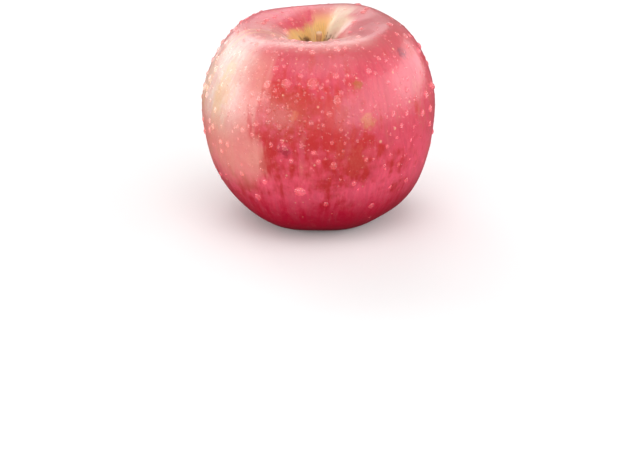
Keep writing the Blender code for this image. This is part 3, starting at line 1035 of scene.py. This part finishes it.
def basin_layer(skin, colour):
    """Yellowish green of the calyx basin, with rays of the blush running in."""
    board = skin.board
    reach = board.total(skin.radius, skin.uneven(fine=6.0))
    basin = board.product(board.ramp(reach, *BASIN_RING), skin.level(BASIN_LEVEL))
    return board.mix(basin, colour, BASIN_GREEN)


def skin_material(tones, fruit):
    """The skin: blush over a yellow ground, streaks, lenticels, marks and the cavity's russet, with
    painted light, shade, highlights and sheen in its colour.
    """
    material, board, shader = new_material("skin", SKIN_UNIFORM)
    skin = Skin(board)
    colour = blush_layer(skin, tones)
    colour = pale_band_layer(skin, tones, colour)
    for pixel, radius, shade, strength in SKIN_MARKS:
        centre, _ = seen_point(fruit, pixel)
        spot = skin.mask("soft_spot", centre=centre / MM, radius=radius, ragged=MARK_RAGGED)
        colour = board.mix(board.product(spot, strength), colour, shade)
    colour, ochre, russet = cavity_layer(skin, tones, colour)
    colour = basin_layer(skin, colour)

    small, large = (
        board.product(skin.mask("scattered_dots", spacing=spacing, radius=radius), strength)
        for spacing, radius, strength in LENTICELS)
    dots = board.product(board.math("MAXIMUM", small, large), board.math("SUBTRACT", 1.0, ochre))
    colour = board.mix(dots, colour, tones.lenticel)
    crowd, _ = seen_point(fruit, CROWD_PIXEL)
    misted = skin.mask("soft_spot", centre=crowd / MM, radius=MIST_REACH, ragged=MIST_RAGGED)
    beads = skin.mask("scattered_dots", spacing=BEAD_SPACING, radius=BEAD_RADIUS)
    beads = board.product(beads, misted)
    # Painted sheen: the fine beads of water are painted as pale pink dots, and their bump below is
    # relief
    colour = board.mix(board.product(beads, BEAD_SHEEN_STRENGTH), colour, BEAD_SHEEN_PINK)
    speckle = board.product(board.ramp(skin.marks["grain"], 0.60, 0.95), SPECKLE_STRENGTH)
    colour = board.mix(speckle, colour, SPECKLE_PINK)
    board.feed(shader.inputs["Base Color"], colour)

    roughness = board.total(
        SKIN_ROUGHNESS, board.product(skin.marks["grain"], GRAIN_ROUGHNESS),
        board.product(dots, LENTICEL_ROUGHNESS), board.product(russet, RUSSET_ROUGHNESS))
    board.feed(shader.inputs["Roughness"], roughness)

    dimples = board.bump(board.noise(skin.place, 0.16, detail=3.0, roughness=0.55), *DIMPLES)
    relief = board.total(
        board.product(skin.grain_height, 0.6), board.product(dots, 0.25),
        board.product(russet, skin.marks["grain"], 1.5))
    pores = board.bump(relief, *PORES, dimples)
    board.feed(shader.inputs["Normal"], board.bump(beads, *BEADS, pores))
    return material


def sweep(bm, stations, sides):
    """Draws a closed bar, whose section is a unit circle set at each station in turn."""
    first = bmesh.ops.create_circle(bm, cap_ends=False, radius=1.0, segments=sides)["verts"]
    bmesh.ops.transform(bm, matrix=stations[0], verts=first)
    rim = list({edge for vert in first for edge in vert.link_edges})
    for before, after in zip(stations, stations[1:]):
        added = bmesh.ops.extrude_edge_only(bm, edges=rim)["geom"]
        ring = [item for item in added if isinstance(item, bmesh.types.BMVert)]
        rim = [item for item in added if isinstance(item, bmesh.types.BMEdge)]
        bmesh.ops.transform(bm, matrix=after @ before.inverted(), verts=ring)
    ends = [edge for edge in bm.edges if edge.is_boundary]
    caps = bmesh.ops.holes_fill(bm, edges=ends, sides=0)["faces"]
    bmesh.ops.recalc_face_normals(bm, faces=bm.faces)
    return caps


def station(place, half_width, half_thickness, pitch=0.0):
    """A section's place, its size across and its pitch about the bar's width."""
    size = Matrix.Diagonal((half_width, half_thickness, 1.0, 1.0))
    return Matrix.Translation(place) @ Matrix.Rotation(pitch, 4, "X") @ size


def stem_stations():
    """Stations of the stem: thick at its root, thin in its middle, flared and slanted at its end."""
    low, high = STEM_BOX
    root = Vector(((low.x + high.x) / 2, (low.y + high.y) / 2, low.z))
    length = STEM_TOP - root.z
    stations = []
    for step in range(STEM_STEPS + 1):
        height = length * step / STEM_STEPS
        bend = ease(height, STEM_STRAIGHT, length)
        thick_root = 1.0 - ease(height, STEM_STRAIGHT, STEM_WAIST_SPAN[0] * length)
        flare = ease(height, STEM_WAIST_SPAN[1] * length, length)
        radius = STEM_WAIST_RADIUS
        radius += (STEM_ROOT_RADIUS - STEM_WAIST_RADIUS) * thick_root
        radius += (STEM_END_RADIUS - STEM_WAIST_RADIUS) * flare
        offset = Vector((STEM_TOP_SHIFT[0] * bend, STEM_TOP_SHIFT[1] * bend, height))
        slant = STEM_END_SLANT * ease(step, STEM_STEPS - STEM_SLANT_STEPS, STEM_STEPS)
        stations.append(station(root + offset, radius, radius, slant))
    narrower = Matrix.Diagonal((STEM_WORN_SHARE, STEM_WORN_SHARE, 1.0, 1.0))
    worn = stations[-1] @ Matrix.Translation((0.0, 0.0, STEM_WORN_HEIGHT)) @ narrower
    return stations + [worn]


def stem_mesh(sizes):
    """The stem with the ridges of its bark and the torn fibres of its clipped end."""
    bm = bmesh.new()
    caps = sweep(bm, stem_stations(), STEM_SIDES)
    end = max(caps, key=lambda face: face.calc_center_median().z)
    for share in STEM_END_INSETS:
        bmesh.ops.inset_region(bm, faces=[end], thickness=share * STEM_END_RADIUS)
    bm.normal_update()
    for vert in bm.verts:
        along = Vector((vert.co.x, vert.co.y, RIDGE_LENGTHENING * vert.co.z)) * RIDGES_PER_METRE
        ridge = noise.noise(along) + FINE_SHARE * noise.noise(along * RIDGE_FINER)
        vert.co += vert.normal * ridge * sizes.stem_ridges
    fit_box(bm, STEM_BOX)
    bmesh.ops.recalc_face_normals(bm, faces=bm.faces)
    return bm


# Colour of the stem: depths in millimetres under its top where green begins and is whole, and where
# the clipped wood begins and is whole. The grain is drawn out along the stem
GREEN_DEPTHS = (8.0, 12.0)
CLIPPED_DEPTHS = (1.6, 0.4)
BARK_GRAIN = (3.2, 3.2, 0.55)


def stem_material(tones):
    """Brown bark with lengthwise grain, and pale wood where the stem was clipped."""
    material, board, shader = new_material("stem_wood")
    place = board.here()
    grain = board.noise(board.vector("MULTIPLY", place, BARK_GRAIN), detail=4.0, roughness=0.6)
    blotch = board.group(effect("mottle"), place=place, size=1.6, contrast=1.2)
    depth = board.math("SUBTRACT", STEM_BOX[1].z / MM, board.parts(place)[2])
    colour = board.mix(board.ramp(grain, 0.35, 0.65), tones.bark, YELLOW_BARK)
    dark = board.product(board.ramp(blotch["Mask"], 0.55, 0.9), 0.6)
    colour = board.mix(dark, colour, DARK_BARK)
    colour = board.mix(board.ramp(depth, *GREEN_DEPTHS, 0.0, 0.5), colour, GREEN_BARK)
    colour = board.mix(board.ramp(depth, *CLIPPED_DEPTHS), colour, tones.cut_wood)
    board.feed(shader.inputs["Base Color"], colour)
    board.feed(shader.inputs["Roughness"], board.ramp(grain, 0.3, 0.7, 0.62, 0.85))
    relief = board.total(grain, blotch["Height"])
    board.feed(shader.inputs["Normal"], board.bump(relief, *BARK_RELIEF))
    return material


def scatter_weight(point, normal, crowd):
    """How likely a drop is to sit here: most on the upper left and about the crowd, none underneath."""
    height = point.z / HEIGHT
    upright = ease(normal.z, *UPRIGHT_SPAN)
    left = ease(-point.x / WIDTH, *LEFT_SPAN)
    upper = ease(height, *UPPER_SPAN)
    on_top = normal.z > 0.0 and height > DRY_CAVITY_LEVEL
    cavity = ease(point.xy.length, *DRY_CAVITY_RADII) if on_top else 1.0
    near = exp(-((point - crowd).length / CROWD_REACH) ** 2)
    chance = CHANCE_ANYWHERE + CHANCE_UPPER * upper + CHANCE_UPPER_LEFT * left * upper
    return upright * cavity * (chance + CHANCE_CROWD * near)


# Larger drops that the photograph shows: pixel, width in millimetres, height over width
SEEN_DROPS = (
    ((313, 84), 4.4, 1.00),
    ((286, 84), 3.8, 1.00),
    ((267, 85), 2.6, 1.25),
    ((275, 91), 1.7, 1.20),
    ((301, 76), 1.9, 1.00),
    ((336, 76), 2.6, 1.05),
    ((337, 101), 2.6, 1.70),
    ((321, 88), 1.8, 1.00),
    ((256, 124), 2.2, 1.00),
    ((258, 197), 2.8, 1.15),
    ((242, 174), 2.0, 1.00),
    ((300, 192), 4.4, 0.90),
    ((314, 153), 2.0, 1.00),
    ((341, 130), 1.6, 1.20),
    ((332, 143), 1.7, 1.00),
    ((395, 90), 1.6, 1.00),
    ((386, 61), 1.5, 1.00),
    ((403, 79), 1.4, 1.20),
)


def drop_matrix(point, normal, width, tall):
    """Places a unit ball as a drop: flat on the skin, drawn out down the slope, sunk a little."""
    down = Vector((0.0, 0.0, -1.0))
    slope = down - normal * down.dot(normal)
    slope = slope.normalized() if slope.length > 0.05 else normal.orthogonal().normalized()
    across = normal.cross(slope)
    turn = Matrix((slope, across, normal)).transposed().to_4x4()
    height = (DROP_HEIGHT if width > DROP_STEPS[0] else SMALL_DROP_HEIGHT) * width
    size = Matrix.Diagonal((0.5 * width * tall, 0.5 * width, height, 1.0))
    return Matrix.Translation(point - normal * height * DROP_SINK) @ turn @ size


def unit_ball(subdivisions):
    """A ball of radius 1 to make drops from."""
    bm = bmesh.new()
    bmesh.ops.create_icosphere(bm, subdivisions=subdivisions, radius=1.0)
    return finished(bm, "ball")


def add_drop(bm, balls, point, normal, width, tall):
    """One drop. Small ones have few faces."""
    drop = balls[sum(width > limit for limit in DROP_STEPS)].copy()
    drop.transform(drop_matrix(point, normal, width, tall))
    append(bm, drop)


def drops_mesh(sizes, fruit):
    """All the drops: those that the photograph shows singly, and a seeded scatter."""
    draw = random.Random(DROP_SEED)
    balls = [unit_ball(2 + step) for step in range(len(DROP_STEPS) + 1)]
    bm = bmesh.new()
    placed = []
    for pixel, width, tall in SEEN_DROPS:
        point, normal = seen_point(fruit, pixel)
        add_drop(bm, balls, point, normal, width * MM, tall)
        placed.append((point, width * MM))
    crowd, _ = seen_point(fruit, CROWD_PIXEL)
    middle = Vector((0.0, 0.0, 0.55 * HEIGHT))
    for _ in range(DROP_TRIES):
        if len(placed) >= sizes.drops:
            break
        ray = Vector((draw.gauss(0, 1), draw.gauss(0, 1), draw.gauss(0, 1))).normalized()
        point, normal, _, _ = fruit.ray_cast(middle + ray * WIDTH, -ray)
        size = draw.random() ** DROP_RARITY
        chance = draw.random()
        tall = draw.uniform(*DROP_LENGTHS)
        if point is None or chance > scatter_weight(point, normal, crowd):
            continue
        width = sizes.smallest_drop + (sizes.largest_drop - sizes.smallest_drop) * size
        if any((point - other).length < DROP_ROOM * (width + wide) for other, wide in placed):
            continue
        add_drop(bm, balls, point, normal, width, tall + DROP_RUN * size * (1.0 - abs(normal.z)))
        placed.append((point, width))
    for ball in balls:
        bpy.data.meshes.remove(ball)
    bmesh.ops.recalc_face_normals(bm, faces=bm.faces)
    return bm


def water_material(tones):
    """Clear water, which lets the light through to the skin under it."""
    uniform = {"Roughness": 0.04, "IOR": 1.33, "Transmission Weight": 0.92}
    material, board, shader = new_material("water", uniform)
    board.feed(shader.inputs["Base Color"], tones.water)
    path = board.node("LightPath")
    clear = board.node("BsdfTransparent")
    sockets = {0: path.outputs["Is Shadow Ray"], 1: shader.outputs[0], 2: clear.outputs[0]}
    blend = board.node("MixShader", sockets)
    board.feed(material.node_tree.nodes["Material Output"].inputs["Surface"], blend.outputs[0])
    return material


def sepal_stations(turn, curl):
    """Stations of one sepal, which hangs from the eye, spreads and curls back at its tip."""
    place = Vector((0.0, SEPAL_ROOT_RADIUS, BASIN_DEPTH + SEPAL_ROOT_DEPTH))
    round_axis = Matrix.Rotation(turn, 4, "Z")
    stations = []
    for step in range(SEPAL_STEPS + 1):
        share = step / SEPAL_STEPS
        pitch = SEPAL_ROOT_PITCH + curl * share ** SEPAL_CURL_POWER
        width = SEPAL_WIDTH + (SEPAL_TIP_WIDTH - SEPAL_WIDTH) * share ** SEPAL_TAPER_POWER
        thickness = SEPAL_THICKNESS + (SEPAL_TIP_THICKNESS - SEPAL_THICKNESS) * share
        section = station(place, width / 2, thickness / 2, pi + pitch)
        stations.append(round_axis @ section)
        heading = pitch + SEPAL_SPREAD
        place = place + Vector((0.0, sin(heading), -cos(heading))) * (SEPAL_LENGTH / SEPAL_STEPS)
    return stations


def stamen_stations(turn, spread):
    """Stations of one dried stamen, from its root in the eye to its end."""
    round_axis = Matrix.Rotation(turn, 4, "Z")
    stations = []
    for step in range(STAMEN_STEPS + 1):
        share = step / STAMEN_STEPS
        out = STAMEN_ROOT_RADIUS + spread * share
        height = BASIN_DEPTH + STAMEN_ROOT_DEPTH - STAMEN_LENGTH * share
        radius = STAMEN_RADIUS * (0.55 + 0.45 * ease(share, 0.75, 0.95))
        stations.append(round_axis @ station(Vector((0.0, out, height)), radius, radius))
    return stations


def eye_stations():
    """Stations of the round eye that carries the sepals, from its root down to its rim."""
    top = BASIN_DEPTH + CALYX_SOCKET_DEPTH - GAP
    bottom = BASIN_DEPTH - EYE_STANDS_PROUD
    stations = [station(Vector((0.0, 0.0, top)), EYE_RADIUS, EYE_RADIUS)]
    for step in range(EYE_STEPS + 1):
        turn = pi / 2 * step / EYE_STEPS
        radius = EYE_RIM_RADIUS + (EYE_RADIUS - EYE_RIM_RADIUS) * cos(turn)
        height = bottom + EYE_ROUNDING * (1.0 - sin(turn))
        stations.append(station(Vector((0.0, 0.0, height)), radius, radius))
    return stations


def add_hairs(bm, count):
    """Short stiff hairs on the lower faces of the sepals."""
    draw = random.Random(HAIR_SEED)
    faces = [
        face for face in bm.faces
        if face.normal.z < -0.15 and face.calc_center_median().xy.length > HAIRLESS_RADIUS]
    picked = draw.sample(faces, min(count, len(faces)))
    roots = [(face.calc_center_median(), face.normal.copy()) for face in picked]
    for place, normal in roots:
        lean = Vector((draw.gauss(0, HAIR_LEAN), draw.gauss(0, HAIR_LEAN), draw.gauss(0, HAIR_LEAN)))
        length = draw.uniform(*HAIR_LENGTH)
        turn = (normal + lean).normalized().to_track_quat("Z", "Y").to_matrix().to_4x4()
        matrix = Matrix.Translation(place) @ turn @ Matrix.Translation((0.0, 0.0, 0.4 * length))
        bmesh.ops.create_cone(
            bm, cap_ends=True, segments=HAIR_SIDES, radius1=HAIR_RADII[0], radius2=HAIR_RADII[1],
            depth=length, matrix=matrix)


def calyx_mesh(sizes):
    """The eye with its crumpled sepals, its stamens and its hairs."""
    bars = [(eye_stations(), EYE_SIDES)]
    for index in range(SEPAL_COUNT):
        turn = SEPAL_FIRST_TURN + 2 * pi * index / SEPAL_COUNT
        curl = SEPAL_CURL + SEPAL_CURL_UNEVEN * sin(2.3 * index)
        bars.append((sepal_stations(turn, curl), SEPAL_SIDES))
    for index in range(STAMEN_COUNT):
        turn = 2 * pi * index / STAMEN_COUNT
        spread = STAMEN_SPREAD + STAMEN_SPREAD_UNEVEN * sin(1.7 * index)
        bars.append((stamen_stations(turn, spread), STAMEN_SIDES))
    bm = bmesh.new()
    for stations, sides in bars:
        bar = bmesh.new()
        sweep(bar, stations, sides)
        append(bm, finished(bar, "bar"))
    bm.normal_update()
    for vert in bm.verts:
        coarse, fine = (noise.noise_vector(vert.co * scale) for scale in CRUMPLES_PER_METRE)
        vert.co += (coarse + FINE_SHARE * fine) * sizes.crumple
    add_hairs(bm, sizes.hairs)
    fit_box(bm, CALYX_BOX)
    bmesh.ops.recalc_face_normals(bm, faces=bm.faces)
    return bm


def calyx_material(tones):
    """Dry brown sepals with pale hairs."""
    material, board, shader = new_material("dried_calyx")
    blotch = board.group(effect("mottle"), place=board.here(), size=1.1, contrast=1.3)
    board.feed(shader.inputs["Base Color"], board.mix(blotch["Mask"], tones.sepal, tones.sepal_tip))
    board.feed(shader.inputs["Roughness"], board.ramp(blotch["Mask"], 0.0, 1.0, 0.80, 0.95))
    board.feed(shader.inputs["Normal"], board.bump(blotch["Height"], *SEPAL_RELIEF))
    return material


def floor_material(tones):
    """A plain pale sheet. It gives back less light than it shows, as a sheet lit by itself does."""
    material, board, shader = new_material("floor_paper", {"Roughness": 0.9, "Specular IOR Level": 0.0})
    seen = board.node("LightPath").outputs["Is Camera Ray"]
    board.feed(shader.inputs["Base Color"], board.mix(seen, FLOOR_BOUNCE, tones.floor))
    return material


def add_floor(tones):
    """The floor, a wide flat disc that is no part of the fruit."""
    bm = bmesh.new()
    bmesh.ops.create_circle(bm, cap_ends=True, radius=FLOOR_RADIUS, segments=FLOOR_SIDES)
    mesh = finished(bm, "floor")
    mesh.materials.append(floor_material(tones))
    floor = bpy.data.objects.new("floor", mesh)
    bpy.context.scene.collection.objects.link(floor)


def add_soft_box(name, place, size, power):
    """A soft box that faces the fruit."""
    light = bpy.data.lights.new(name, "AREA")
    light.shape = "RECTANGLE"
    light.size, light.size_y = size
    light.energy = power
    lamp = bpy.data.objects.new(name, light)
    lamp.location = place
    lamp.rotation_euler = (SOFT_BOX_TARGET - Vector(place)).to_track_quat("-Z", "Y").to_euler()
    bpy.context.scene.collection.objects.link(lamp)


def add_air(scene):
    """Even white light from all round."""
    world = bpy.data.worlds.new("studio_air")
    world.use_nodes = True
    sky = world.node_tree.nodes["Background"]
    sky.inputs["Color"].default_value = (1.0, 1.0, 1.0, 1.0)
    sky.inputs["Strength"].default_value = AIR_STRENGTH
    scene.world = world


def add_camera(scene):
    """The camera, where the photograph was taken from."""
    place, turn, focal = camera_place()
    lens = bpy.data.cameras.new("photo_camera")
    lens.sensor_width = SENSOR_WIDTH
    lens.lens = focal * SENSOR_WIDTH / PHOTO_SIZE[0]
    lens.clip_start = 0.01
    camera = bpy.data.objects.new("photo_camera", lens)
    camera.location = place
    camera.rotation_euler = turn
    scene.collection.objects.link(camera)
    scene.camera = camera


def fruit_tree():
    """The finished skin as a tree for finding points on it."""
    bm = bmesh.new()
    bm.from_mesh(bpy.data.objects["fruit_skin"].data)
    tree = BVHTree.FromBMesh(bm)
    bm.free()
    return tree


class FRUIT_OT_skin(bpy.types.Operator):
    """Make the fruit with its skin"""

    bl_idname = "fruit.skin"
    bl_label = "Fruit and skin"

    def execute(self, context):
        """Makes the piece that stands for the fruit's node."""
        scene = context.scene
        piece = add_piece("fruit_skin", fruit_mesh(scene.fruit_sizes), "apple_body")
        piece.data.materials.append(skin_material(scene.fruit_tones, fruit_tree()))
        return {"FINISHED"}


class FRUIT_OT_stem(bpy.types.Operator):
    """Make the clipped stem"""

    bl_idname = "fruit.stem"
    bl_label = "Stem"

    def execute(self, context):
        """Makes the piece that stands for the stem's node."""
        scene = context.scene
        piece = add_piece("stem_bark", stem_mesh(scene.fruit_sizes), "stem", radians(50.0))
        piece.data.materials.append(stem_material(scene.fruit_tones))
        return {"FINISHED"}


class FRUIT_OT_calyx(bpy.types.Operator):
    """Make the dried calyx"""

    bl_idname = "fruit.calyx"
    bl_label = "Calyx"

    def execute(self, context):
        """Makes the piece that stands for the calyx's node."""
        scene = context.scene
        piece = add_piece("dried_sepals", calyx_mesh(scene.fruit_sizes), "calyx")
        piece.data.materials.append(calyx_material(scene.fruit_tones))
        return {"FINISHED"}


class FRUIT_OT_water(bpy.types.Operator):
    """Make the water drops"""

    bl_idname = "fruit.water"
    bl_label = "Water drops"

    def execute(self, context):
        """Makes the drops as one piece on the skin."""
        scene = context.scene
        drops = drops_mesh(scene.fruit_sizes, fruit_tree())
        piece = add_piece("water_drops", drops, sharp=pi)
        piece.data.materials.append(water_material(scene.fruit_tones))
        return {"FINISHED"}


class FRUIT_OT_stage(bpy.types.Operator):
    """Make the floor, the lights and the camera"""

    bl_idname = "fruit.stage"
    bl_label = "Stage"

    def execute(self, context):
        """Makes what isn't part of the fruit."""
        scene = context.scene
        add_floor(scene.fruit_tones)
        for box in SOFT_BOXES:
            add_soft_box(*box)
        add_air(scene)
        scene.view_settings.view_transform = "Standard"
        add_camera(scene)
        return {"FINISHED"}


class FRUIT_PT_looks(bpy.types.Panel):
    """Lists the pieces, with the sizes and the colours that they read"""

    bl_idname = "FRUIT_PT_looks"
    bl_label = "Fuji apple"
    bl_space_type = "VIEW_3D"
    bl_region_type = "UI"
    bl_category = "Fruit"

    def draw(self, context):
        """Draws the buttons, the sizes and the colours."""
        layout = self.layout
        for operator in OPERATORS:
            layout.operator(operator.bl_idname)
        for group in (context.scene.fruit_sizes, context.scene.fruit_tones):
            box = layout.box()
            for name in group.__annotations__:
                box.prop(group, name)


OPERATORS = (FRUIT_OT_skin, FRUIT_OT_stem, FRUIT_OT_calyx, FRUIT_OT_water, FRUIT_OT_stage)
CLASSES = (FruitSizes, FruitTones, *OPERATORS, FRUIT_PT_looks)


def register():
    """Registers the classes and hangs the settings on the scene."""
    for item in CLASSES:
        bpy.utils.register_class(item)
    bpy.types.Scene.fruit_sizes = PointerProperty(type=FruitSizes)
    bpy.types.Scene.fruit_tones = PointerProperty(type=FruitTones)


def unregister():
    """Takes the settings and the classes away again."""
    del bpy.types.Scene.fruit_tones
    del bpy.types.Scene.fruit_sizes
    for item in reversed(CLASSES):
        bpy.utils.unregister_class(item)


def main():
    """Makes every piece, then the stage."""
    register()
    bpy.ops.fruit.skin()
    bpy.ops.fruit.stem()
    bpy.ops.fruit.calyx()
    bpy.ops.fruit.water()
    bpy.ops.fruit.stage()


if __name__ == "__main__":
    main()
